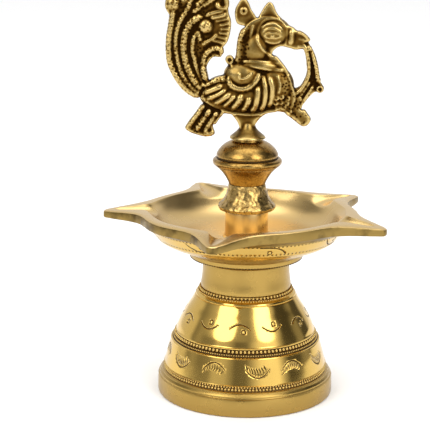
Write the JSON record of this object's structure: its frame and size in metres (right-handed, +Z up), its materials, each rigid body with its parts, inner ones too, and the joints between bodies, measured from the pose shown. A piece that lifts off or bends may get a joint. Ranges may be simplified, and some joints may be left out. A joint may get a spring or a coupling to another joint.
{
  "type": "table oil lamp",
  "caption": "Brass table oil lamp: bell foot, plain collar, spouted oil bowl, turned knop and an openwork bird finial; the stack unscrews.",
  "frame": {"origin": "on the lamp's axis at the ground, under the foot; it is the middle of the footprint's bounding box to within 1 mm, because the hand-cast spouts are not quite even", "axes": "+Z up along the lamp's axis; +X the way the bird looks; the bird's flat face is seen from -Y"},
  "size_m": [0.0901, 0.0865, 0.14],
  "materials": {
    "polished_brass": "mirror polished",
    "satin_brass": "satin, lathe turned",
    "antique_brass": "as cast, darkened in the hollows",
    "plain_brass": "plain turned"
  },
  "bodies": {
    "foot": {"bell_foot": "polished_brass"},
    "collar": {"collar": "satin_brass"},
    "bowl": {"oil_bowl": "satin_brass", "bowl_stud": "plain_brass"},
    "finial_stem": {"finial_skirt": "antique_brass", "finial_knop": "antique_brass"},
    "bird": {"bird_finial": "antique_brass", "clamp_rod": "plain_brass"}
  },
  "joints": [
    {"name": "bowl_unscrew", "type": "hinge", "parent": "foot", "child": "collar", "pos_m": [0, 0, 0.0348], "axis": [0, 0, 1], "range_deg": [0, 1296]},
    {"name": "bowl_rise", "type": "slide", "parent": "collar", "child": "bowl", "axis": [0, 0, 1], "range_m": [0, 0.00901]},
    {"name": "bird_unscrew", "type": "hinge", "parent": "bowl", "child": "finial_stem", "pos_m": [0, 0, 0.0602], "axis": [0, 0, 1], "range_deg": [0, 1530]},
    {"name": "bird_rise", "type": "slide", "parent": "finial_stem", "child": "bird", "axis": [0, 0, 1], "range_m": [0, 0.00851]}
  ],
  "couplings": [
    {"joint": "bowl_rise", "follows": "bowl_unscrew", "m_per_rad": 0.00039789},
    {"joint": "bird_rise", "follows": "bird_unscrew", "m_per_rad": 0.00031831}
  ]
}
